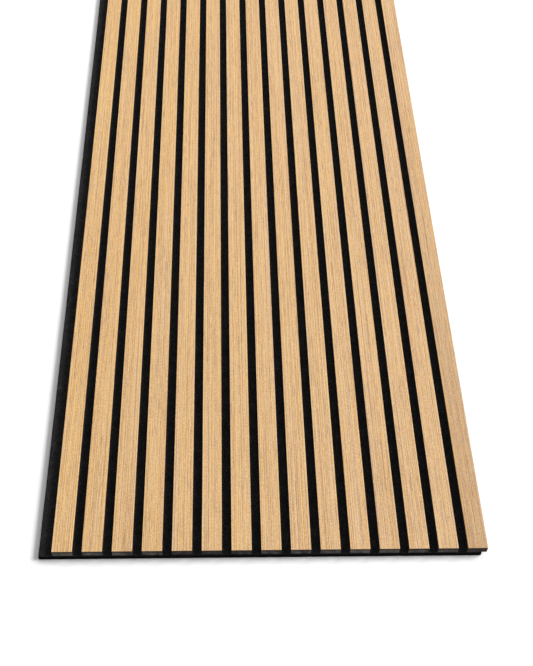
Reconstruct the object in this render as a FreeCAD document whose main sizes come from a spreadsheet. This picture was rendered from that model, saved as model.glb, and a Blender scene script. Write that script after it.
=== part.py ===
# Acoustic slat wall panel: oak-faced slats on a black felt board.
# The panel lies flat with the felt down. The origin is the middle of its underside,
# +Y runs along the slats and +Z points out of the face that a room sees.
import FreeCAD, Part
import Sketcher
import enum
import os

# Every size is in millimetres: its name, its value and what it is
SIZES = (
    ("panel_length", 2400.0, "length of the felt board and of every slat"),
    ("slat_count", 15, "slats side by side"),
    ("slat_width", 27.0, "width of one slat"),
    ("slat_gap", 13.0, "open gap between two slats"),
    ("core_thickness", 11.4, "fibreboard body of a slat"),
    ("veneer_thickness", 0.6, "oak face of a slat"),
    ("veneer_arris", 0.2, "bevel that sanding leaves on each long edge of the oak"),
    ("felt_thickness", 9.0, "felt board"),
    ("felt_lap", 18.0, "felt that stands out past the first slat"),
    ("joint_clearance", 2.5, "space between this felt and the next panel's lap"),
    ("staple_count", 6, "staples along one slat"),
    ("staple_end_distance", 60.0, "middle of the first staple from the end of the panel"),
    ("staple_crown", 11.0, "outside width of a staple"),
    ("wire_width", 1.2, "flat staple wire, across the slat"),
    ("wire_thickness", 0.6, "flat staple wire, the other way"),
    ("staple_sink", 0.3, "how deep the staple's crown is pulled into the felt"),
    ("tip_cover", 4.0, "fibreboard left between the staple's tips and the oak"),
)

# Sizes and places that follow from the ones above
PITCH = "(Sizes.slat_width + Sizes.slat_gap)"
SLAT_STRETCH = f"((Sizes.slat_count - 1) * {PITCH})"
FELT_WIDTH = f"(Sizes.slat_count * {PITCH} - Sizes.joint_clearance)"
LAP_AND_SLATS = f"(Sizes.felt_lap + {SLAT_STRETCH} + Sizes.slat_width)"
LEFT_EDGE = f"(-max({FELT_WIDTH}; {LAP_AND_SLATS}) / 2)"
FELT_MIDDLE = f"({LEFT_EDGE} + {FELT_WIDTH} / 2)"
FIRST_SLAT_MIDDLE = f"({LEFT_EDGE} + Sizes.felt_lap + Sizes.slat_width / 2)"
VENEER_BASE = "(Sizes.felt_thickness + Sizes.core_thickness)"
STAPLE_TIP = f"({VENEER_BASE} - Sizes.tip_cover)"
FIRST_STAPLE = "(Sizes.staple_end_distance - Sizes.panel_length / 2)"
STAPLE_STRETCH = "(Sizes.panel_length - 2 * Sizes.staple_end_distance)"
FELT_BACK = "0"


class LineEnd(enum.IntEnum):
    """How a sketch counts the two ends of a line, from one."""
    START = enum.auto()
    END = enum.auto()


# The sketch's own origin, which counts as the start of its first axis
ORIGIN = (-1, LineEnd.START)


def fill_sheet(doc):
    """Put every size in the sheet under its own name."""
    sheet = doc.addObject("Spreadsheet::Sheet", "Sizes")
    for row, (alias, value, meaning) in enumerate(SIZES, start=1):
        sheet.set(f"A{row}", meaning)
        sheet.set(f"B{row}", str(value))
        sheet.setAlias(f"B{row}", alias)
    doc.recompute()
    return sheet


def slat_middle(index):
    """Where the middle of a slat lies across the panel, counted from nought."""
    return f"({FIRST_SLAT_MIDDLE} + {index} * {PITCH})"


def add_body(doc, label, across, height):
    """One piece, named for its file and put in its place across and above the floor."""
    body = doc.addObject("PartDesign::Body", label)
    body.Label = label
    body.setExpression("Placement.Base.x", across)
    body.setExpression("Placement.Base.z", height)
    return body


def origin_item(body, role):
    """One of the body's own planes or axes."""
    return next(item for item in body.Origin.OriginFeatures if item.Role == role)


def add_sketch(body, name, plane):
    """A sketch on one of the body's own planes."""
    sketch = body.newObject("Sketcher::SketchObject", name)
    sketch.AttachmentSupport = [(origin_item(body, plane), "")]
    sketch.MapMode = "FlatFace"
    return sketch


def hold(sketch, direction, name, corner, expression):
    """Hold a corner's way from the sketch's origin, across or up, to an expression."""
    value = sketch.evalExpression(expression)
    to_corner = (*ORIGIN, corner, LineEnd.START)
    number = sketch.addConstraint(Sketcher.Constraint(direction, *to_corner, value))
    sketch.renameConstraint(number, name)
    sketch.setExpression(f"Constraints.{name}", expression)


def draw_outline(sketch, corners):
    """Join the corners with lines; a corner is two expressions, one across and one up."""
    points = [FreeCAD.Vector(*map(sketch.evalExpression, corner)) for corner in corners]
    following = [(index + 1) % len(corners) for index in range(len(corners))]
    for start, end in enumerate(following):
        sketch.addGeometry(Part.LineSegment(points[start], points[end]), False)
    for start, end in enumerate(following):
        across, up = corners[end]
        joint = (start, LineEnd.END, end, LineEnd.START)
        sketch.addConstraint(Sketcher.Constraint("Coincident", *joint))
        if across == corners[start][0]:
            sketch.addConstraint(Sketcher.Constraint("Vertical", start))
        else:
            hold(sketch, "DistanceX", f"corner_{end}_across", end, across)
        if up == corners[start][1]:
            sketch.addConstraint(Sketcher.Constraint("Horizontal", start))
        else:
            hold(sketch, "DistanceY", f"corner_{end}_up", end, up)


def extrude(body, kind, sketch, length):
    """Pad or pocket a section, the same way to both sides of its plane."""
    feature = body.newObject(f"PartDesign::{kind}", f"{sketch.Name}_{kind}")
    feature.Profile = sketch
    feature.SideType = "Symmetric"
    feature.setExpression("Length", length)
    return feature


def board_section(width, thickness):
    """Corners of a plain board that stands on the origin, centred across."""
    left = f"(-{width} / 2)"
    right = f"({width} / 2)"
    return (left, "0"), (right, "0"), (right, thickness), (left, thickness)


def veneer_section():
    """Corners of the oak face, with its two long top edges bevelled."""
    left = "(-Sizes.slat_width / 2)"
    right = "(Sizes.slat_width / 2)"
    top = "Sizes.veneer_thickness"
    shoulder = "(Sizes.veneer_thickness - Sizes.veneer_arris)"
    return (
        (left, "0"),
        (right, "0"),
        (right, shoulder),
        (f"({right} - Sizes.veneer_arris)", top),
        (f"({left} + Sizes.veneer_arris)", top),
        (left, shoulder),
    )


def staple_section(crown_base):
    """Corners of a staple seen along X: the crown below, a leg up at each end."""
    left = "(-Sizes.staple_crown / 2)"
    right = "(Sizes.staple_crown / 2)"
    left_inside = f"({left} + Sizes.wire_thickness)"
    right_inside = f"({right} - Sizes.wire_thickness)"
    crown_top = "(Sizes.staple_sink + Sizes.wire_thickness)"
    return (
        (left, crown_base),
        (right, crown_base),
        (right, STAPLE_TIP),
        (right_inside, STAPLE_TIP),
        (right_inside, crown_top),
        (left_inside, crown_top),
        (left_inside, STAPLE_TIP),
        (left, STAPLE_TIP),
    )


def add_board(body, section):
    """Run a section along the whole panel."""
    sketch = add_sketch(body, "section", "XZ_Plane")
    draw_outline(sketch, section)
    return extrude(body, "Pad", sketch, "Sizes.panel_length")


def add_staple_form(body, kind, first_across, base_height, crown_base):
    """Add or cut the form of the first slat's first staple, seen from the body's own base."""
    sketch = add_sketch(body, "staple_outline", "YZ_Plane")
    sketch.setExpression("AttachmentOffset.Base.x", FIRST_STAPLE)
    sketch.setExpression("AttachmentOffset.Base.y", f"-{base_height}")
    sketch.setExpression("AttachmentOffset.Base.z", first_across)
    draw_outline(sketch, staple_section(crown_base))
    return extrude(body, kind, sketch, "Sizes.wire_width")


def repeat_staples(body, form, every_slat):
    """Repeat a staple's form along its slat, and where asked across all the slats."""
    pattern = body.newObject("PartDesign::LinearPattern", f"{form.Name}_row")
    pattern.Originals = [form]
    pattern.Direction = (origin_item(body, "Y_Axis"), [""])
    pattern.setExpression("Length", STAPLE_STRETCH)
    pattern.setExpression("Occurrences", "Sizes.staple_count")
    if every_slat:
        pattern.Direction2 = (origin_item(body, "X_Axis"), [""])
        pattern.setExpression("Length2", SLAT_STRETCH)
        pattern.setExpression("Occurrences2", "Sizes.slat_count")
    body.Tip = pattern


def make_felt(doc):
    """The felt board, cut where the staples pass through it."""
    body = add_body(doc, "felt_backing", FELT_MIDDLE, "0")
    board = add_board(body, board_section(FELT_WIDTH, "Sizes.felt_thickness"))
    first_across = f"({FIRST_SLAT_MIDDLE} - {FELT_MIDDLE})"
    cut = add_staple_form(body, "Pocket", first_across, "0", FELT_BACK)
    repeat_staples(body, cut, every_slat=True)
    return body, board


def make_core(doc, index):
    """The fibreboard body of one slat, with the holes that its staples make."""
    label = f"slat_core_{index + 1:02d}"
    body = add_body(doc, label, slat_middle(index), "Sizes.felt_thickness")
    board = add_board(body, board_section("Sizes.slat_width", "Sizes.core_thickness"))
    cut = add_staple_form(body, "Pocket", "0", "Sizes.felt_thickness", FELT_BACK)
    repeat_staples(body, cut, every_slat=False)
    return body, board


def make_veneer(doc, index):
    """The oak face of one slat."""
    body = add_body(doc, f"oak_veneer_{index + 1:02d}", slat_middle(index), VENEER_BASE)
    add_board(body, veneer_section())
    return body


def make_staples(doc):
    """All the staples, each a solid of its own."""
    body = add_body(doc, "staples", "0", "0")
    body.AllowCompound = True
    staple = add_staple_form(body, "Pad", FIRST_SLAT_MIDDLE, "0", "Sizes.staple_sink")
    repeat_staples(body, staple, every_slat=True)
    return body


def check_document(doc):
    """Stop if any object of the document failed."""
    for item in doc.Objects:
        if "Invalid" in item.State or "Error" in item.State:
            raise RuntimeError(f"{item.Label} failed: {item.State}")


def check_piece(body):
    """Stop if a piece has no sound shape."""
    if body.Shape.isNull() or not body.Shape.isValid():
        raise RuntimeError(f"{body.Label} has no sound shape")


def check_cut(body, board):
    """Stop if the staples cut nothing out of a board."""
    if body.Shape.Volume >= board.Shape.Volume:
        raise RuntimeError(f"{body.Label} has no staple holes")


def main():
    doc = FreeCAD.newDocument("acoustic_slat_panel")
    sheet = fill_sheet(doc)
    slats = range(int(sheet.slat_count))
    stapled = [make_felt(doc)]
    stapled += [make_core(doc, index) for index in slats]
    pieces = [body for body, board in stapled]
    pieces += [make_veneer(doc, index) for index in slats]
    pieces.append(make_staples(doc))
    doc.recompute()
    check_document(doc)
    for body, board in stapled:
        check_cut(body, board)
    os.makedirs("parts", exist_ok=True)
    for body in pieces:
        check_piece(body)
        body.Shape.exportStep(f"parts/{body.Label}.step")
    return pieces


if __name__ == "__main__":
    main()
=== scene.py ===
"""Finishes for an acoustic slat wall panel: oak veneer, fibreboard, felt and staple wire.

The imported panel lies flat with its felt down, +Y along the slats and +Z out of the oak.
Lengths are in metres. Patterns in materials are worked out in millimetres.
"""

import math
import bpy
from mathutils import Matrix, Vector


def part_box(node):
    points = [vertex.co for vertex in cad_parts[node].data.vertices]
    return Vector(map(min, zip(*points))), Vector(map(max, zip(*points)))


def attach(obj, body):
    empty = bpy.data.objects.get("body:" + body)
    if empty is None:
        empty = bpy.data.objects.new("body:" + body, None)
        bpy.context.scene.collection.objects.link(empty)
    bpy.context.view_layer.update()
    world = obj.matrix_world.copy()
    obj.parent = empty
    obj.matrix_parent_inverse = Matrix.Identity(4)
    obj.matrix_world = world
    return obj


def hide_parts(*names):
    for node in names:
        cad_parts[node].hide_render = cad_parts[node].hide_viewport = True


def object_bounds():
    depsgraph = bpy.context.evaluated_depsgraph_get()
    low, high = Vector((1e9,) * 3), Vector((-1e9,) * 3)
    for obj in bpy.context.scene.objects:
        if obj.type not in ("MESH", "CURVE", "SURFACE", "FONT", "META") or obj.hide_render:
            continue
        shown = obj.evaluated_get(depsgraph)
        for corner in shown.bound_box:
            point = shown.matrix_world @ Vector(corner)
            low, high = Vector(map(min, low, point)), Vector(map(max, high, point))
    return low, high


bl_info = {
    "name": "Acoustic slat wall panel",
    "version": (1, 0, 0),
    "blender": (4, 5, 0),
    "location": "3D View > Sidebar > Slat panel",
    "description": "Oak, fibreboard, felt and wire for a slatted wall panel, with its floor and lamps",
    "category": "Object",
}

import bmesh
import bpy
from bpy.props import FloatProperty, FloatVectorProperty, PointerProperty
from mathutils import Matrix, Vector, noise

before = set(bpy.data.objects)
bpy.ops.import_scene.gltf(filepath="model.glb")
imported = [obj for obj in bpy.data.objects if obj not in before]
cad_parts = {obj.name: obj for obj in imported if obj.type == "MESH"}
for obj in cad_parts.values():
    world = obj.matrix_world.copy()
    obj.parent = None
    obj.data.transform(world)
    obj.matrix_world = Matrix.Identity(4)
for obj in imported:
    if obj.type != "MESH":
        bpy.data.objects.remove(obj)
CAD_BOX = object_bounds()

BODY = "root"
FELT = "felt_backing"
STAPLES = "staples"
CORES = sorted(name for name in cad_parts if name.startswith("slat_core"))
OAK_FACES = sorted(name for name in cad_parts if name.startswith("oak_veneer"))

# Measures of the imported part
FIRST_SLAT_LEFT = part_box(CORES[0])[0].x
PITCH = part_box(CORES[1])[0].x - FIRST_SLAT_LEFT
SLAT_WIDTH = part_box(CORES[0])[1].x - FIRST_SLAT_LEFT
CORE_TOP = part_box(CORES[0])[1].z
HALF_LENGTH = CAD_BOX[1].y

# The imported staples: how many lie along a slat, and half the outside width of one
STAPLES_ALONG = 6
HALF_CROWN = 0.0055

# The dent round a staple's crown: its depth, its reach across from the crown's middle line and
# along from the crown's end, and how much of each reach is slope
DENT_DEPTH = 0.00065
DENT_ACROSS = 0.0026
DENT_ALONG = 0.0025
SLOPE_ACROSS = 0.0018
SLOPE_ALONG = 0.0022

# Where the felt's back has edges for a dent, counted as its reaches are
MARKS_ACROSS = (0.0007, 0.0013, DENT_ACROSS)
MARKS_ALONG = (0.0002, 0.0011, DENT_ALONG)

# The felt's mesh: rows of faces up its sides, and strips across the lap and across each gap
FELT_LAYERS = 3
STRIPS = 4

# How fine the felt's unevenness is, on its top and on its cut edges
TOP_BUMPS = 45.0
EDGE_BUMPS = 90.0

# Two measures no further apart than this count as one
SKIN = 0.00001

# Length over which the lap's painted light turns into the plain tone of the gaps
LAP_BLEND = 0.004

# Patterns in materials, in millimetres: how far apart along the grain the slats' veneers may be
# cut, how far each is cut aside of the last, how far aside a second pattern lies, and how far
# apart in the board the slats' bodies are cut
MILLIMETRES = 1000.0
VENEERS_APART = 4000.0
VENEER_STEP = 41.3
SECOND_PATTERN = (977.7, 0.0, 0.0)
BODY_STEP = 53.0

# How far noise that is drawn out along the slats has its own grid turned
GRID_TURN = 0.6

# Slats from one strongly dyed body to the next
DYE_PERIOD = 10.5

# Sockets of the Mix node when it mixes colours
FACTOR, COLOUR_A, COLOUR_B, MIXED = 0, 6, 7, 2


# Settings that a user can change

def linear(code):
    """The linear numbers of an sRGB colour written in hex."""
    channels = [int(code[start:start + 2], 16) / 255 for start in (0, 2, 4)]
    return tuple(c / 12.92 if c <= 0.04045 else ((c + 0.055) / 1.055) ** 2.4 for c in channels)


def colour(name, description, code):
    """A colour that a user can change."""
    return FloatVectorProperty(
        name=name, description=description, default=linear(code), subtype="COLOR", size=3, min=0.0,
        max=1.0,
    )


def length(name, description, metres):
    """A length that a user can change."""
    return FloatProperty(
        name=name, description=description, default=metres, min=0.0, precision=5, unit="LENGTH"
    )


def share(name, description, value):
    """A share, from none to all, that a user can change."""
    return FloatProperty(
        name=name, description=description, default=value, min=0.0, max=1.0, subtype="FACTOR"
    )


def amount(name, description, value):
    """A plain number that a user can change."""
    return FloatProperty(name=name, description=description, default=value)


class OakSettings(bpy.types.PropertyGroup):
    """What a user can change on the slats' oak faces."""

    tan: colour("Body colour", "Early wood, warm and golden", "F8CD81")
    grey_tan: colour("Grey runs", "Paler, greyer tan that the wood turns to in places", "E5C6A3")
    half_shade: colour("Half shade", "How far most of the grain darkens the wood", "F5F0ED")
    full_shade: colour("Full shade", "How far the late wood darkens it", "CEB29F")
    end_grain: colour("End grain", "The veneer's cut ends", "8C6844")
    pore: colour("Pores", "Short open pores", "82604A")
    odd_shade: colour("Odd shade", "How far the last slat's veneer darkens at its near end", "EAE7E3")
    odd_length: length("Odd shade's length", "How far along the last slat it fades away", 1.06)
    # Painted highlight: the oak is painted paler along each slat's long edges, where the arrises catch
    # the light
    edge_painted_highlight: share("Sanded edge", "How much paler sanding leaves the long edges", 0.15)
    highlight_width: length("Sanded width", "How far in from an edge that shows", 0.0018)
    streak_width: length("Streak width", "Width of one grain streak", 0.00074)
    streak_length: length("Streak length", "Length of the longest grain streaks", 0.6)
    fibre_width: length("Fibre width", "Fine fibres that show from near by", 0.00022)
    pore_width: length("Pore width", "Drawn wider than the real 0.3 mm, too fine to show", 0.0009)
    pore_length: length("Pore run", "Length of one run of pores", 0.16)
    pore_strength: share("Pore strength", "How far a pore darkens the wood", 0.52)
    roughness: share("Roughness", "Matt lacquer", 0.55)


class FibreboardSettings(bpy.types.PropertyGroup):
    """What a user can change on the slats' fibreboard."""

    sawn: colour("Sawn ends", "Cut fibres at the slats' ends", "69635E")
    blotch: colour("Dark patches", "Where the dye took more", "2A2624")
    side: colour("Machined sides", "Long sides of the slats", "1F1D1C")
    glue_line: colour("Glue line", "Soaked edge just under the oak", "0C0A09")
    grit: length("Grit", "Size of the cut fibre bundles", 0.0012)
    glue_line_height: length("Glue line height", "How far the glue soaked down", 0.0055)


class FeltSettings(bpy.types.PropertyGroup):
    """What a user can change on the felt board."""

    black: colour("Felt", "Dyed polyester fibre", "1E1D1E")
    lint: colour("Light fibres", "Fibres that catch the light", "666466")
    fibre_width: length("Fibre width", "Drawn wider than the real 0.03 mm, too fine to show", 0.0007)
    cut_tone: share("Cut edges", "How bright the cut edges are, whose fibres point outwards", 0.27)
    # Painted light: the lap is the same felt as in the gaps, painted brighter by this much since the
    # gaps lie in the slats' shade
    lap_painted_light: amount("Lap", "How bright the lap is beside the gaps: handling raises its fibres", 1.2)
    clump: length("Clump", "Size of the cloudiness that needling leaves", 0.012)
    edge_round: length("Edge round", "How far the cut edges have softened", 0.0008)
    fluff: length("Fluff", "How far the fibres stand out of the cut edges", 0.0009)
    swelling: length("Swelling", "How far the felt rises between two slats", 0.00035)
    unevenness: length("Unevenness", "How far the surface wanders", 0.00015)
    cell: length("Cell", "Longest side of one face along the felt", 0.04)


class StapleSettings(bpy.types.PropertyGroup):
    """What a user can change on the staples."""

    zinc: colour("Zinc", "Galvanised flat wire", "9FA3A8")
    roughness: share("Roughness", "Drawn wire", 0.38)


class StageSettings(bpy.types.PropertyGroup):
    """What a user can change on the floor, lamps and camera."""

    floor: colour("Floor", "Plain pale floor", "EDEDED")
    floor_width: length("Floor width", "Width and depth of the floor", 24.0)
    floor_lift: amount("Floor lift", "How much brighter the camera sees the floor", 1.43)
    plain_from: length("Plain from", "Way from the panel's middle to where the floor turns white", 1.6)
    plain_to: length("Plain to", "Way from the panel's middle to where it is all white", 2.6)
    ambient: amount("Room light", "Even light from all round", 0.245)
    key_level: amount("Key light", "Light that the key adds on a level face", 0.65)
    key_distance: length("Key distance", "From the middle of the panel to the key", 20.0)
    key_width: length("Key width", "Across the round soft key lamp", 10.5)
    key_towards: FloatVectorProperty(
        name="Key direction", description="From the panel towards the key", default=(1.2, 0.12, 1.0)
    )
    top_level: amount("Top light", "Light that the top lamp adds on a level face", 0.242)
    top_distance: length("Top distance", "From the middle of the panel to the top lamp", 2.1)
    top_width: length("Top width", "Across the round soft top lamp", 2.2)
    top_towards: FloatVectorProperty(
        name="Top direction", description="From the panel towards the top lamp", default=(0.0, 0.2, 1.0)
    )
    lens: FloatProperty(name="Lens", description="Focal length in millimetres", default=57.01, min=1.0)
    camera_at: FloatVectorProperty(
        name="Camera",
        description="Where the camera stands",
        default=(-0.06311, -1.83204, 1.31801),
        unit="LENGTH",
    )
    camera_aim: FloatVectorProperty(
        name="Aim",
        description="Point straight in front of the lens",
        default=(-0.0005, -0.8326, 0.021),
        unit="LENGTH",
    )
    camera_roll: FloatProperty(
        name="Roll",
        description="Turn about the line of sight",
        default=math.radians(2.752),
        unit="ROTATION",
    )
    camera_shift: amount("Shift", "Sideways shift of the frame", 0.0132)


class PanelSettings(bpy.types.PropertyGroup):
    """Everything that a user can change."""

    oak: PointerProperty(type=OakSettings)
    fibreboard: PointerProperty(type=FibreboardSettings)
    felt: PointerProperty(type=FeltSettings)
    staples: PointerProperty(type=StapleSettings)
    stage: PointerProperty(type=StageSettings)


# Nodes and patterns

def add(tree, kind, inputs=(), out=0, stops=(), **settings):
    """Add one node with its settings, inputs and links, and return one of its outputs."""
    made = tree.nodes.new(kind)
    for name, value in settings.items():
        setattr(made, name, value)
    for socket, value in dict(inputs).items():
        if isinstance(value, bpy.types.NodeSocket):
            tree.links.new(value, made.inputs[socket])
        else:
            made.inputs[socket].default_value = value
    for number, (position, shade) in enumerate(stops):
        ramp = made.color_ramp.elements
        stop = ramp[number] if number < len(ramp) else ramp.new(position)
        stop.position = position
        stop.color = (*shade, 1.0)
    return made.outputs[out] if made.outputs else made


def opaque(shade):
    """A colour with its fourth number."""
    return (*shade, 1.0)


def new_material(name):
    """An empty material and its nodes."""
    material = bpy.data.materials.new(name)
    material.use_nodes = True
    material.node_tree.nodes.clear()
    return material, material.node_tree


def place_in_millimetres(tree):
    """Where a point lies on the panel, in millimetres."""
    place = add(tree, "ShaderNodeTexCoord", out="Object")
    return add(tree, "ShaderNodeVectorMath", {0: place, "Scale": MILLIMETRES}, operation="SCALE")


def slat_count_to(tree, place):
    """How many slats, with their gaps, lie to the left of a point; a slat's middle is at a half."""
    across = add(tree, "ShaderNodeSeparateXYZ", {0: place}, out="X")
    start = (FIRST_SLAT_LEFT - (PITCH - SLAT_WIDTH) / 2) * MILLIMETRES
    from_left = add(tree, "ShaderNodeMath", {0: across, 1: start}, operation="SUBTRACT")
    return add(tree, "ShaderNodeMath", {0: from_left, 1: PITCH * MILLIMETRES}, operation="DIVIDE")


def drawn_out_noise(tree, place, across, along):
    """Noise drawn out along the slats, the same at every height; sizes are in millimetres.
    Turning the noise's own grid keeps its rows from showing as bands across the slats."""
    turned = {"Vector": place, "Rotation": (0.0, 0.0, GRID_TURN), "Scale": (1 / across, 1 / along, 0.0)}
    squeezed = add(tree, "ShaderNodeMapping", turned)
    grain = {"Vector": squeezed, "Scale": 1.0, "Detail": 0.0}
    return add(tree, "ShaderNodeTexNoise", grain, noise_dimensions="2D")


def layered(tree, layers):
    """Noises added up about a half, each with its weight."""
    total = 0.5 - 0.5 * sum(weight for layer, weight in layers)
    for layer, weight in layers:
        total = add(tree, "ShaderNodeMath", {0: layer, 1: weight, 2: total}, operation="MULTIPLY_ADD")
    return total


def lines(tree, place, across, lengths):
    """Fine lines along the slats, of several lengths in millimetres, each with its weight. The
    longest are set off against what lies beside them, so that they stay crisp and don't clump."""
    layers = [(drawn_out_noise(tree, place, across, along), weight) for along, weight in lengths]
    longest, weight = lengths[0]
    for aside in (-1.5 * across, 1.5 * across):
        beside = add(tree, "ShaderNodeVectorMath", {0: place, 1: (aside, 0.0, 0.0)}, operation="ADD")
        layers.append((drawn_out_noise(tree, beside, across, longest), -0.3 * weight))
    return layered(tree, layers)


def at_ends(tree, place):
    """One on the two cut ends of the panel, nought elsewhere."""
    skin = 0.05
    along = add(tree, "ShaderNodeSeparateXYZ", {0: place}, out="Y")
    from_middle = add(tree, "ShaderNodeMath", {0: along}, operation="ABSOLUTE")
    limit = HALF_LENGTH * MILLIMETRES - skin
    return add(tree, "ShaderNodeMath", {0: from_middle, 1: limit}, operation="GREATER_THAN")


# Materials

def place_in_grain(tree, place, number):
    """Where a point lies in the grain, since each slat's veneer is cut from another part of it."""
    luck = add(tree, "ShaderNodeTexWhiteNoise", {"W": number}, noise_dimensions="1D")
    sheet_start = add(tree, "ShaderNodeMath", {0: luck, 1: VENEERS_APART}, operation="MULTIPLY")
    sheet_side = add(tree, "ShaderNodeMath", {0: number, 1: VENEER_STEP}, operation="MULTIPLY")
    sheet = add(tree, "ShaderNodeCombineXYZ", {"X": sheet_side, "Y": sheet_start})
    return add(tree, "ShaderNodeVectorMath", {0: place, 1: sheet}, operation="ADD")


def oak_grain(tree, place, settings):
    """Light and dark wood drawn out along the slats, from long streaks down to single fibres."""
    width = settings.streak_width * MILLIMETRES
    run = settings.streak_length * MILLIMETRES
    thread = settings.fibre_width * MILLIMETRES
    streaks = lines(tree, place, width, ((run, 1.2), (0.08 * run, 0.45), (0.016 * run, 0.2)))
    broad = drawn_out_noise(tree, place, 2.2 * width, 0.8 * run)
    flecks = drawn_out_noise(tree, place, 0.65 * width, 3.8 * width)
    fibres = drawn_out_noise(tree, place, thread, 50.0 * thread)
    return layered(tree, ((streaks, 1.0), (broad, 0.65), (flecks, 1.4), (fibres, 0.8)))


def oak_greyness(tree, place, number, settings):
    """How far the wood has turned grey, from nought to one, a little more from slat to slat."""
    width = settings.streak_width * MILLIMETRES
    run = settings.streak_length * MILLIMETRES
    lengths = ((run, 0.5), (0.05 * run, 0.3), (4.0 * width, 0.24))
    runs = [(drawn_out_noise(tree, place, 2.5 * width, along), weight) for along, weight in lengths]
    greyness = layered(tree, runs)
    last = len(CORES) - 1
    most = 0.06
    drift = add(tree, "ShaderNodeMapRange", {0: number, 1: 0.0, 2: last, 3: -most, 4: most})
    here = add(tree, "ShaderNodeMath", {0: greyness, 1: drift}, operation="ADD")
    return add(tree, "ShaderNodeMapRange", {0: here, 1: 0.2, 2: 0.8, 3: 0.0, 4: 1.0})


def oak_pores(tree, place, second_place, settings):
    """How far open pores darken the wood: rows of them, and single ones between."""
    width = settings.pore_width * MILLIMETRES
    run = settings.pore_length * MILLIMETRES
    rows = drawn_out_noise(tree, place, width, run)
    single = drawn_out_noise(tree, second_place, width, 0.16 * run)
    pores = layered(tree, ((rows, 1.0), (single, 0.7)))
    plain_below = 0.72
    open_above = 0.78
    limits = {1: plain_below, 2: open_above, 3: 0.0, 4: settings.pore_strength}
    return add(tree, "ShaderNodeMapRange", {0: pores, **limits})


def near_end_of_last_slat(tree, place, number, settings):
    """One at the last slat's near end, fading to nought along it, and nought on all the others."""
    last_slat = add(tree, "ShaderNodeMath", {0: number, 1: len(CORES) - 1.5}, operation="GREATER_THAN")
    along = add(tree, "ShaderNodeSeparateXYZ", {0: place}, out="Y")
    near_end = -HALF_LENGTH * MILLIMETRES
    faded = near_end + settings.odd_length * MILLIMETRES
    near_share = add(tree, "ShaderNodeMapRange", {0: along, 1: near_end, 2: faded, 3: 1.0, 4: 0.0})
    return add(tree, "ShaderNodeMath", {0: last_slat, 1: near_share}, operation="MULTIPLY")


def painted_edge_highlight_tone(tree, slats, settings):
    """How bright the wood is across a slat: one, and more along its two long edges, a painted highlight
    on the arrises.
    """
    in_pitch = add(tree, "ShaderNodeMath", {0: slats}, operation="FRACT")
    from_middle = add(tree, "ShaderNodeMath", {0: in_pitch, 1: 0.5}, operation="SUBTRACT")
    aside = add(tree, "ShaderNodeMath", {0: from_middle}, operation="ABSOLUTE")
    edge = SLAT_WIDTH / PITCH / 2
    inside = edge - settings.highlight_width / PITCH
    palest = 1.0 + settings.edge_painted_highlight
    return add(tree, "ShaderNodeMapRange", {0: aside, 1: inside, 2: edge, 3: 1.0, 4: palest})


def lacquered_sliced_oak(settings):
    """Oak veneer sliced 0.6 mm thick under matt lacquer: straight fine streaks and short brown
    pores, warm tan with paler, greyer runs, a painted highlight along the long edges and a soft even
    shine."""
    material, tree = new_material("lacquered_sliced_oak")
    place = place_in_millimetres(tree)
    slats = slat_count_to(tree, place)
    number = add(tree, "ShaderNodeMath", {0: slats}, operation="FLOOR")
    grain_place = place_in_grain(tree, place, number)
    moved = {0: grain_place, 1: SECOND_PATTERN}
    second_place = add(tree, "ShaderNodeVectorMath", moved, operation="ADD")
    grain = oak_grain(tree, grain_place, settings)
    pores = oak_pores(tree, grain_place, second_place, settings)
    shade = add(
        tree,
        "ShaderNodeValToRGB",
        {0: grain},
        stops=((0.1, settings.full_shade), (0.5, settings.half_shade), (0.9, (1.0, 1.0, 1.0))),
    )
    grey_share = oak_greyness(tree, second_place, number, settings)
    bare_wood = add(
        tree,
        "ShaderNodeMix",
        {FACTOR: grey_share, COLOUR_A: opaque(settings.tan), COLOUR_B: opaque(settings.grey_tan)},
        out=MIXED,
        data_type="RGBA",
    )
    wood = add(
        tree,
        "ShaderNodeMix",
        {FACTOR: 1.0, COLOUR_A: bare_wood, COLOUR_B: shade},
        out=MIXED,
        data_type="RGBA",
        blend_type="MULTIPLY",
    )
    pored = add(
        tree,
        "ShaderNodeMix",
        {FACTOR: pores, COLOUR_A: wood, COLOUR_B: opaque(settings.pore)},
        out=MIXED,
        data_type="RGBA",
    )
    odd_share = near_end_of_last_slat(tree, place, number, settings)
    # The last slat is made darker at its near end, fading away along it
    near_end_darkened = add(
        tree,
        "ShaderNodeMix",
        {FACTOR: odd_share, COLOUR_A: pored, COLOUR_B: opaque(settings.odd_shade)},
        out=MIXED,
        data_type="RGBA",
        blend_type="MULTIPLY",
    )
    # Painted highlight along each slat's two long edges
    toned = add(
        tree,
        "ShaderNodeMix",
        {FACTOR: 1.0, COLOUR_A: near_end_darkened, COLOUR_B: painted_edge_highlight_tone(tree, slats, settings)},
        out=MIXED,
        data_type="RGBA",
        blend_type="MULTIPLY",
    )
    face = add(
        tree,
        "ShaderNodeMix",
        {FACTOR: at_ends(tree, place), COLOUR_A: toned, COLOUR_B: opaque(settings.end_grain)},
        out=MIXED,
        data_type="RGBA",
    )
    rougher = settings.roughness + 0.08
    smoother = settings.roughness - 0.08
    shine = add(tree, "ShaderNodeMapRange", {0: grain, 3: rougher, 4: smoother})
    open_pores = add(tree, "ShaderNodeMath", {0: grain, 1: pores}, operation="SUBTRACT")
    relief = add(tree, "ShaderNodeBump", {"Strength": 0.12, "Distance": 0.00005, "Height": open_pores})
    surface = {"Base Color": face, "Roughness": shine, "IOR": 1.5, "Normal": relief}
    shader = add(tree, "ShaderNodeBsdfPrincipled", surface)
    add(tree, "ShaderNodeOutputMaterial", {"Surface": shader})
    return material


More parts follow.
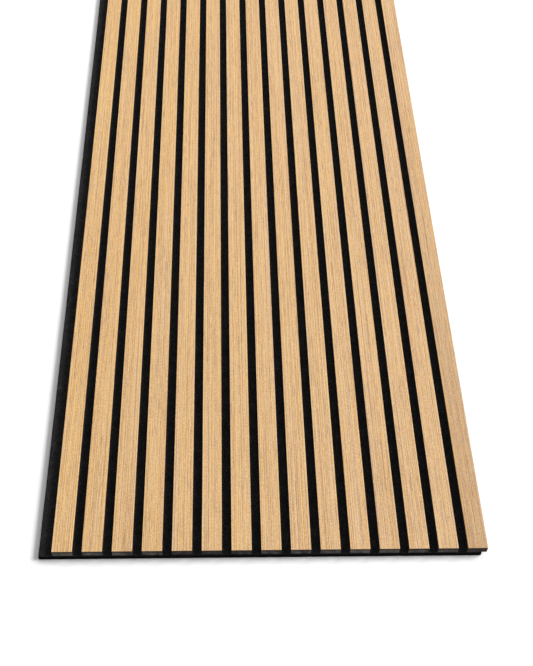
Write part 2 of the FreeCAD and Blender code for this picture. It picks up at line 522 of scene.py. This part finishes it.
def sawn_end(tree, place, fibre_place, number, grit, settings):
    """Colour of a slat's sawn end: cut fibres, patches of dye, and the glue line under the oak."""
    luck = add(tree, "ShaderNodeTexWhiteNoise", {"W": number}, noise_dimensions="1D")
    patch_scale = 0.11
    patch = {"Vector": fibre_place, "Scale": patch_scale, "Detail": 1.0}
    patches = add(tree, "ShaderNodeTexNoise", patch)
    dye = add(tree, "ShaderNodeMath", {0: number, 1: math.tau / DYE_PERIOD}, operation="MULTIPLY")
    dye_wave = add(tree, "ShaderNodeMath", {0: dye}, operation="COSINE")
    cut = layered(tree, ((grit, 0.6), (patches, 1.5), (luck, 0.2), (dye_wave, 0.25)))
    sawn = add(
        tree, "ShaderNodeValToRGB", {0: cut}, stops=((0.15, settings.blotch), (0.75, settings.sawn))
    )
    height = add(tree, "ShaderNodeSeparateXYZ", {0: place}, out="Z")
    under_oak = (CORE_TOP - settings.glue_line_height) * MILLIMETRES
    soaked = add(
        tree,
        "ShaderNodeMapRange",
        {0: height, 1: under_oak, 2: CORE_TOP * MILLIMETRES, 3: 0.0, 4: 1.0},
        interpolation_type="SMOOTHSTEP",
    )
    return add(
        tree,
        "ShaderNodeMix",
        {FACTOR: soaked, COLOUR_A: sawn, COLOUR_B: opaque(settings.glue_line)},
        out=MIXED,
        data_type="RGBA",
    )


def dyed_sawn_fibreboard(settings):
    """Black-dyed medium-density fibreboard: machined sides are an even matt black, and the sawn
    ends show cut fibre bundles, grey-brown and patchy, with a dark glue-soaked line under the oak."""
    material, tree = new_material("dyed_sawn_fibreboard")
    place = place_in_millimetres(tree)
    slats = slat_count_to(tree, place)
    number = add(tree, "ShaderNodeMath", {0: slats}, operation="FLOOR")
    board_depth = add(tree, "ShaderNodeMath", {0: number, 1: BODY_STEP}, operation="MULTIPLY")
    board = add(tree, "ShaderNodeCombineXYZ", {"Y": board_depth})
    fibre_place = add(tree, "ShaderNodeVectorMath", {0: place, 1: board}, operation="ADD")
    grit_scale = 1 / (settings.grit * MILLIMETRES)
    grit = add(
        tree,
        "ShaderNodeTexNoise",
        {"Vector": fibre_place, "Scale": grit_scale, "Detail": 5.0, "Roughness": 0.75},
    )
    end_face = sawn_end(tree, place, fibre_place, number, grit, settings)
    side_tone = add(tree, "ShaderNodeMapRange", {0: grit, 3: 0.75, 4: 1.25})
    side_face = add(
        tree,
        "ShaderNodeMix",
        {FACTOR: 1.0, COLOUR_A: opaque(settings.side), COLOUR_B: side_tone},
        out=MIXED,
        data_type="RGBA",
        blend_type="MULTIPLY",
    )
    board_colour = add(
        tree,
        "ShaderNodeMix",
        {FACTOR: at_ends(tree, place), COLOUR_A: side_face, COLOUR_B: end_face},
        out=MIXED,
        data_type="RGBA",
    )
    relief = add(tree, "ShaderNodeBump", {"Strength": 0.5, "Distance": 0.0002, "Height": grit})
    surface = {"Base Color": board_colour, "Roughness": 0.85, "IOR": 1.5, "Normal": relief}
    shader = add(tree, "ShaderNodeBsdfPrincipled", {**surface, "Specular IOR Level": 0.2})
    add(tree, "ShaderNodeOutputMaterial", {"Surface": shader})
    return material


def felt_fibres(tree, place, settings):
    """One along tangled fibres that lie on top of the felt, nought between them."""
    fibre_width = settings.fibre_width * MILLIMETRES
    tangle = add(
        tree,
        "ShaderNodeTexNoise",
        {"Vector": place, "Scale": 0.25 / fibre_width, "Detail": 2.0, "Distortion": 2.5},
    )
    from_middle = add(tree, "ShaderNodeMath", {0: tangle, 1: 0.5}, operation="SUBTRACT")
    ridge = add(tree, "ShaderNodeMath", {0: from_middle}, operation="ABSOLUTE")
    return add(tree, "ShaderNodeMapRange", {0: ridge, 1: 0.0, 2: 0.05, 3: 1.0, 4: 0.0})


def felt_tone(tree, place, settings):
    """How bright the felt is: less on its cut edges, more on the lap, where light is painted on, and
    one in the gaps.
    """
    facing = add(tree, "ShaderNodeNewGeometry", out="Normal")
    upright = add(tree, "ShaderNodeSeparateXYZ", {0: facing}, out="Z")
    level = add(tree, "ShaderNodeMath", {0: upright}, operation="ABSOLUTE")
    across = add(tree, "ShaderNodeSeparateXYZ", {0: place}, out="X")
    to_slat = (FIRST_SLAT_LEFT - LAP_BLEND) * MILLIMETRES
    at_slat = FIRST_SLAT_LEFT * MILLIMETRES
    # Painted light: the lap is painted brighter than the felt in the gaps
    painted_lap_then_gaps = {3: settings.lap_painted_light, 4: 1.0}
    top_with_painted_lap = add(tree, "ShaderNodeMapRange", {0: across, 1: to_slat, 2: at_slat, **painted_lap_then_gaps})
    edges_then_top = {3: settings.cut_tone, 4: top_with_painted_lap}
    return add(tree, "ShaderNodeMapRange", {0: level, 1: 0.2, 2: 0.8, **edges_then_top})


def needled_polyester_felt(settings):
    """Felt board of dyed polyester fibre, needled and pressed: deep black and fully matt, clouded
    by the needling, with single fibres on top that catch a little light."""
    material, tree = new_material("needled_polyester_felt")
    place = place_in_millimetres(tree)
    fibres = felt_fibres(tree, place, settings)
    clump_scale = 1 / (settings.clump * MILLIMETRES)
    clouds = add(tree, "ShaderNodeTexNoise", {"Vector": place, "Scale": clump_scale, "Detail": 3.0})
    lint_share = add(tree, "ShaderNodeMath", {0: fibres, 1: clouds}, operation="MULTIPLY")
    felt_colour = add(
        tree,
        "ShaderNodeMix",
        {FACTOR: lint_share, COLOUR_A: opaque(settings.black), COLOUR_B: opaque(settings.lint)},
        out=MIXED,
        data_type="RGBA",
    )
    toned = add(
        tree,
        "ShaderNodeMix",
        {FACTOR: 1.0, COLOUR_A: felt_colour, COLOUR_B: felt_tone(tree, place, settings)},
        out=MIXED,
        data_type="RGBA",
        blend_type="MULTIPLY",
    )
    height = layered(tree, ((fibres, 0.5), (clouds, 0.8)))
    relief = add(tree, "ShaderNodeBump", {"Strength": 0.7, "Distance": 0.0003, "Height": height})
    surface = {"Base Color": toned, "Roughness": 1.0, "IOR": 1.5, "Specular IOR Level": 0.0}
    fuzz = {"Sheen Weight": 0.01, "Sheen Roughness": 0.5, "Normal": relief}
    shader = add(tree, "ShaderNodeBsdfPrincipled", {**surface, **fuzz})
    add(tree, "ShaderNodeOutputMaterial", {"Surface": shader})
    return material


def galvanised_drawn_wire(settings):
    """Galvanised steel staple wire, drawn and rolled flat: dull zinc grey with fine lines along
    the wire and a faint patchwork of crystals."""
    material, tree = new_material("galvanised_drawn_wire")
    place = place_in_millimetres(tree)
    mark_width = 0.08
    mark_length = 6.0
    draw_marks = drawn_out_noise(tree, place, mark_width, mark_length)
    crystals = add(tree, "ShaderNodeTexVoronoi", {"Vector": place, "Scale": 1.25}, out="Color")
    crystal_tone = add(tree, "ShaderNodeSeparateColor", {0: crystals})
    tone = layered(tree, ((draw_marks, 0.3), (crystal_tone, 0.2)))
    brightness = add(tree, "ShaderNodeMapRange", {0: tone, 3: 0.7, 4: 1.3})
    zinc = add(
        tree,
        "ShaderNodeMix",
        {FACTOR: 1.0, COLOUR_A: opaque(settings.zinc), COLOUR_B: brightness},
        out=MIXED,
        data_type="RGBA",
        blend_type="MULTIPLY",
    )
    rougher = settings.roughness + 0.1
    smoother = settings.roughness - 0.1
    shine = add(tree, "ShaderNodeMapRange", {0: tone, 3: rougher, 4: smoother})
    relief = add(tree, "ShaderNodeBump", {"Strength": 0.3, "Distance": 0.00002, "Height": draw_marks})
    surface = {"Base Color": zinc, "Metallic": 1.0, "Roughness": shine, "Normal": relief}
    shader = add(tree, "ShaderNodeBsdfPrincipled", surface)
    add(tree, "ShaderNodeOutputMaterial", {"Surface": shader})
    return material


# Pieces

def dress(node_name, material):
    """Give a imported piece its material."""
    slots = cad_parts[node_name].material_slots
    if not slots:
        raise RuntimeError(f"{node_name} has no material slot")
    for slot in slots:
        slot.material = material


def felt_columns():
    """Where the felt needs edges across it: at slats' sides, between them and round staples."""
    low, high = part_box(FELT)
    columns = {low.x, high.x}
    columns.update(low.x + (FIRST_SLAT_LEFT - low.x) * part / STRIPS for part in range(1, STRIPS))
    for number in range(len(CORES)):
        left = FIRST_SLAT_LEFT + number * PITCH
        right = left + SLAT_WIDTH
        middle = (left + right) / 2
        columns.update((left, right))
        columns.update(middle + side * away for side in (-1, 1) for away in MARKS_ACROSS)
        columns.update(right + (PITCH - SLAT_WIDTH) * part / STRIPS for part in range(1, STRIPS))
    return sorted(column for column in columns if low.x <= column <= high.x)


def staple_places():
    """Where the staples' middles lie along the panel."""
    low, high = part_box(STAPLES)
    first = low.y + HALF_CROWN
    last = high.y - HALF_CROWN
    gap = (last - first) / (STAPLES_ALONG - 1)
    return [first + number * gap for number in range(STAPLES_ALONG)]


def felt_rows(cell):
    """Where the felt needs edges along it: round staples, and no further apart than a cell."""
    low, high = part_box(FELT)
    marks = [low.y, high.y]
    for middle in staple_places():
        for side in (-1, 1):
            marks += [middle + side * (HALF_CROWN + away) for away in MARKS_ALONG]
    marks.sort()
    rows = [marks[0]]
    for mark in marks[1:]:
        parts = max(1, math.ceil((mark - rows[-1]) / cell))
        start = rows[-1]
        rows += [start + (mark - start) * part / parts for part in range(1, parts + 1)]
    return rows


def dent_depth(x, y, places):
    """How far a staple's crown has drawn the felt's back in at a place."""
    first_middle = FIRST_SLAT_LEFT + SLAT_WIDTH / 2
    number = round((x - first_middle) / PITCH)
    if not 0 <= number < len(CORES):
        return 0.0
    aside = abs(x - first_middle - number * PITCH)
    beyond = min(abs(y - middle) for middle in places) - HALF_CROWN
    across = min(1.0, max(0.0, (DENT_ACROSS - aside) / SLOPE_ACROSS))
    along = min(1.0, max(0.0, (DENT_ALONG - beyond) / SLOPE_ALONG))
    return DENT_DEPTH * across * along


def swelling_at(x):
    """How far the felt has risen, from nought at a slat's side to one midway between two slats."""
    in_pitch = (x - FIRST_SLAT_LEFT) % PITCH
    gap = PITCH - SLAT_WIDTH
    if x < FIRST_SLAT_LEFT or in_pitch <= SLAT_WIDTH:
        return 0.0
    return math.sin(math.pi * (in_pitch - SLAT_WIDTH) / gap)


def under_slat(x):
    """Whether a slat stands on a place."""
    in_pitch = (x - FIRST_SLAT_LEFT) % PITCH
    return x > FIRST_SLAT_LEFT - SKIN and (in_pitch < SLAT_WIDTH + SKIN or in_pitch > PITCH - SKIN)


def touches(value, limit):
    """Whether a measure is the same as a limit."""
    return abs(value - limit) < SKIN


def sides_touched(point, low, high):
    """The sides of the board's box that a point lies on, each as its axis and its end."""
    ends = {"low": low, "high": high}
    sides = [(axis, end) for axis in range(3) for end in ends]
    return {(axis, end) for axis, end in sides if touches(point[axis], ends[end][axis])}


def is_rim(edge, low, high):
    """Whether an edge runs round the top or the bottom of the board's outline."""
    start, end = (sides_touched(vert.co, low, high) for vert in edge.verts)
    shared = start & end
    return len(shared) == 2 and any(axis == 2 for axis, side in shared)


def felt_shift(point, low, high, places, settings):
    """How far a point of the plain board moves to give the soft one."""
    shift = Vector()
    if touches(point.z, high.z) and not under_slat(point.x):
        wander = settings.unevenness * noise.noise(point * TOP_BUMPS)
        shift.z = wander + settings.swelling * swelling_at(point.x)
    if touches(point.z, low.z):
        shift.z = dent_depth(point.x, point.y, places)
    for axis in (0, 1):
        for limit, outwards in ((low, -1), (high, 1)):
            if touches(point[axis], limit[axis]):
                wander = settings.unevenness * noise.noise(point * EDGE_BUMPS)
                shift[axis] = outwards * settings.fluff + wander
    return shift


def make_felt_board(settings):
    """The felt board with softened edges, swollen between the slats and dented by the staples."""
    low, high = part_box(FELT)
    columns = felt_columns()
    rows = felt_rows(settings.cell)
    form = bmesh.new()
    bmesh.ops.create_grid(form, x_segments=len(columns) - 1, y_segments=len(rows) - 1, size=1.0)
    for vert in form.verts:
        column = round((vert.co.x + 1) / 2 * (len(columns) - 1))
        row = round((vert.co.y + 1) / 2 * (len(rows) - 1))
        vert.co = Vector((columns[column], rows[row], low.z))
    grown = form.faces[:] + form.edges[:]
    for layer in range(FELT_LAYERS):
        grown = bmesh.ops.extrude_face_region(form, geom=grown)["geom"]
        raised = [item for item in grown if isinstance(item, bmesh.types.BMVert)]
        bmesh.ops.translate(form, vec=(0, 0, (high.z - low.z) / FELT_LAYERS), verts=raised)
    bmesh.ops.recalc_face_normals(form, faces=form.faces)
    rim = [edge for edge in form.edges if is_rim(edge, low, high)]
    places = staple_places()
    for vert in form.verts:
        vert.co += felt_shift(vert.co, low, high, places, settings)
    bmesh.ops.bevel(
        form,
        geom=rim,
        offset=settings.edge_round,
        segments=2,
        profile=0.5,
        affect="EDGES",
        material=-1,
    )
    mesh = bpy.data.meshes.new("felt_board")
    form.to_mesh(mesh)
    form.free()
    mesh.shade_smooth()
    board = bpy.data.objects.new("felt_board", mesh)
    bpy.context.scene.collection.objects.link(board)
    return board


# Floor, lamps and camera

def make_floor(settings):
    """A plain pale floor under the panel."""
    form = bmesh.new()
    bmesh.ops.create_grid(form, x_segments=1, y_segments=1, size=settings.floor_width / 2)
    mesh = bpy.data.meshes.new("floor")
    form.to_mesh(mesh)
    form.free()
    floor = bpy.data.objects.new("floor", mesh)
    bpy.context.scene.collection.objects.link(floor)
    mesh.materials.append(seamless_paper(settings))


def rays_that_see(tree):
    """One for rays that see a background: the camera's, a reflection's and those through glass."""
    rays = tree.nodes.new("ShaderNodeLightPath").outputs
    direct = {0: rays["Is Camera Ray"], 1: rays["Is Glossy Ray"]}
    seen = add(tree, "ShaderNodeMath", direct, operation="MAXIMUM")
    return add(tree, "ShaderNodeMath", {0: seen, 1: rays["Is Transmission Ray"]}, operation="MAXIMUM")


def seamless_paper(settings):
    """Matt white studio paper: it shows the panel's shadow and is plain white further out."""
    material, tree = new_material("seamless_paper")
    place = add(tree, "ShaderNodeTexCoord", out="Object")
    tooth_scale = 900.0
    tooth = add(tree, "ShaderNodeTexNoise", {"Vector": place, "Scale": tooth_scale, "Detail": 1.0})
    relief = add(tree, "ShaderNodeBump", {"Strength": 0.05, "Distance": 0.0001, "Height": tooth})
    plain = add(tree, "ShaderNodeBsdfDiffuse", {"Color": opaque(settings.floor), "Normal": relief})
    lifted_colour = opaque([channel * settings.floor_lift for channel in settings.floor])
    lifted = add(tree, "ShaderNodeBsdfDiffuse", {"Color": lifted_colour, "Normal": relief})
    white = add(tree, "ShaderNodeEmission", {"Strength": 1.0})
    away = add(tree, "ShaderNodeVectorMath", {0: place}, operation="LENGTH", out="Value")
    fade = add(
        tree,
        "ShaderNodeMapRange",
        {0: away, 1: settings.plain_from, 2: settings.plain_to},
        interpolation_type="SMOOTHSTEP",
    )
    seen = add(tree, "ShaderNodeMixShader", {0: fade, 1: lifted, 2: white})
    shader = add(tree, "ShaderNodeMixShader", {0: rays_that_see(tree), 1: plain, 2: seen})
    add(tree, "ShaderNodeOutputMaterial", {"Surface": shader})
    return material


def make_room_light(settings):
    """Even light from all round, seen as plain white."""
    world = bpy.data.worlds.new("studio")
    world.use_nodes = True
    tree = world.node_tree
    tree.nodes.clear()
    strength = add(tree, "ShaderNodeMapRange", {0: rays_that_see(tree), 3: settings.ambient, 4: 1.0})
    light = add(tree, "ShaderNodeBackground", {"Color": (1.0, 1.0, 1.0, 1.0), "Strength": strength})
    add(tree, "ShaderNodeOutputWorld", {"Surface": light})
    bpy.context.scene.world = world


def hang_lamp(name, level, distance, width, direction):
    """A soft round lamp that adds its level of light on a level face at the panel's middle."""
    towards = Vector(direction).normalized()
    light = bpy.data.lights.new(name, "AREA")
    light.shape = "DISK"
    light.size = width
    light.energy = level * math.pi**2 * distance**2 / towards.z
    lamp = bpy.data.objects.new(name, light)
    turned = towards.to_track_quat("Z", "Y").to_matrix().to_4x4()
    lamp.matrix_world = Matrix.Translation(towards * distance) @ turned
    bpy.context.scene.collection.objects.link(lamp)


def make_camera(settings):
    """The photograph's camera, near the middle and above the panel's near end."""
    lens = bpy.data.cameras.new("camera")
    lens.lens = settings.lens
    lens.shift_x = settings.camera_shift
    lens.clip_start = 0.05
    lens.clip_end = 100.0
    camera = bpy.data.objects.new("camera", lens)
    place = Vector(settings.camera_at)
    sight = (Vector(settings.camera_aim) - place).to_track_quat("-Z", "Y").to_matrix().to_4x4()
    roll = Matrix.Rotation(settings.camera_roll, 4, "Z")
    camera.matrix_world = Matrix.Translation(place) @ sight @ roll
    bpy.context.scene.collection.objects.link(camera)
    bpy.context.scene.camera = camera


# Operators and panel

class SLATPANEL_OT_oak(bpy.types.Operator):
    """Give every slat's face its lacquered oak"""

    bl_idname = "slat_panel.oak"
    bl_label = "Oak faces"

    def execute(self, context):
        material = lacquered_sliced_oak(context.scene.slat_panel.oak)
        for name in OAK_FACES:
            dress(name, material)
        return {"FINISHED"}


class SLATPANEL_OT_fibreboard(bpy.types.Operator):
    """Give every slat's body its dyed fibreboard"""

    bl_idname = "slat_panel.fibreboard"
    bl_label = "Fibreboard bodies"

    def execute(self, context):
        material = dyed_sawn_fibreboard(context.scene.slat_panel.fibreboard)
        for name in CORES:
            dress(name, material)
        return {"FINISHED"}


class SLATPANEL_OT_felt(bpy.types.Operator):
    """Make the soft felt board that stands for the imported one"""

    bl_idname = "slat_panel.felt"
    bl_label = "Felt board"

    def execute(self, context):
        settings = context.scene.slat_panel.felt
        material = needled_polyester_felt(settings)
        dress(FELT, material)
        board = make_felt_board(settings)
        board.data.materials.append(material)
        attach(board, BODY)
        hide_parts(FELT)
        return {"FINISHED"}


class SLATPANEL_OT_staples(bpy.types.Operator):
    """Give the staples their galvanised wire"""

    bl_idname = "slat_panel.staples"
    bl_label = "Staples"

    def execute(self, context):
        dress(STAPLES, galvanised_drawn_wire(context.scene.slat_panel.staples))
        return {"FINISHED"}


class SLATPANEL_OT_stage(bpy.types.Operator):
    """Lay the floor, hang the lamps and set up the camera"""

    bl_idname = "slat_panel.stage"
    bl_label = "Floor, lamps and camera"

    def execute(self, context):
        settings = context.scene.slat_panel.stage
        make_floor(settings)
        make_room_light(settings)
        for name in ("key", "top"):
            parts = ("level", "distance", "width", "towards")
            hang_lamp(name, *(getattr(settings, f"{name}_{part}") for part in parts))
        make_camera(settings)
        context.scene.view_settings.view_transform = "Standard"
        return {"FINISHED"}


OPERATORS = (
    SLATPANEL_OT_oak,
    SLATPANEL_OT_fibreboard,
    SLATPANEL_OT_felt,
    SLATPANEL_OT_staples,
    SLATPANEL_OT_stage,
)


class SLATPANEL_PT_sidebar(bpy.types.Panel):
    """Lists what can be made and what can be changed"""

    bl_idname = "SLATPANEL_PT_sidebar"
    bl_label = "Slat panel"
    bl_space_type = "VIEW_3D"
    bl_region_type = "UI"
    bl_category = "Slat panel"

    def draw(self, context):
        for operator in OPERATORS:
            group = operator.bl_idname.split(".")[1]
            settings = getattr(context.scene.slat_panel, group)
            box = self.layout.box()
            box.operator(operator.bl_idname)
            for name in settings.__annotations__:
                box.prop(settings, name)


CLASSES = (
    OakSettings,
    FibreboardSettings,
    FeltSettings,
    StapleSettings,
    StageSettings,
    PanelSettings,
    *OPERATORS,
    SLATPANEL_PT_sidebar,
)


def register():
    """Tell Blender of the settings, the operators and the panel."""
    for made in CLASSES:
        bpy.utils.register_class(made)
    bpy.types.Scene.slat_panel = PointerProperty(type=PanelSettings)


def unregister():
    """Take them away again."""
    del bpy.types.Scene.slat_panel
    for made in reversed(CLASSES):
        bpy.utils.unregister_class(made)


def main():
    """Make every piece and the stage."""
    register()
    bpy.ops.slat_panel.oak()
    bpy.ops.slat_panel.fibreboard()
    bpy.ops.slat_panel.felt()
    bpy.ops.slat_panel.staples()
    bpy.ops.slat_panel.stage()


if __name__ == "__main__":
    main()
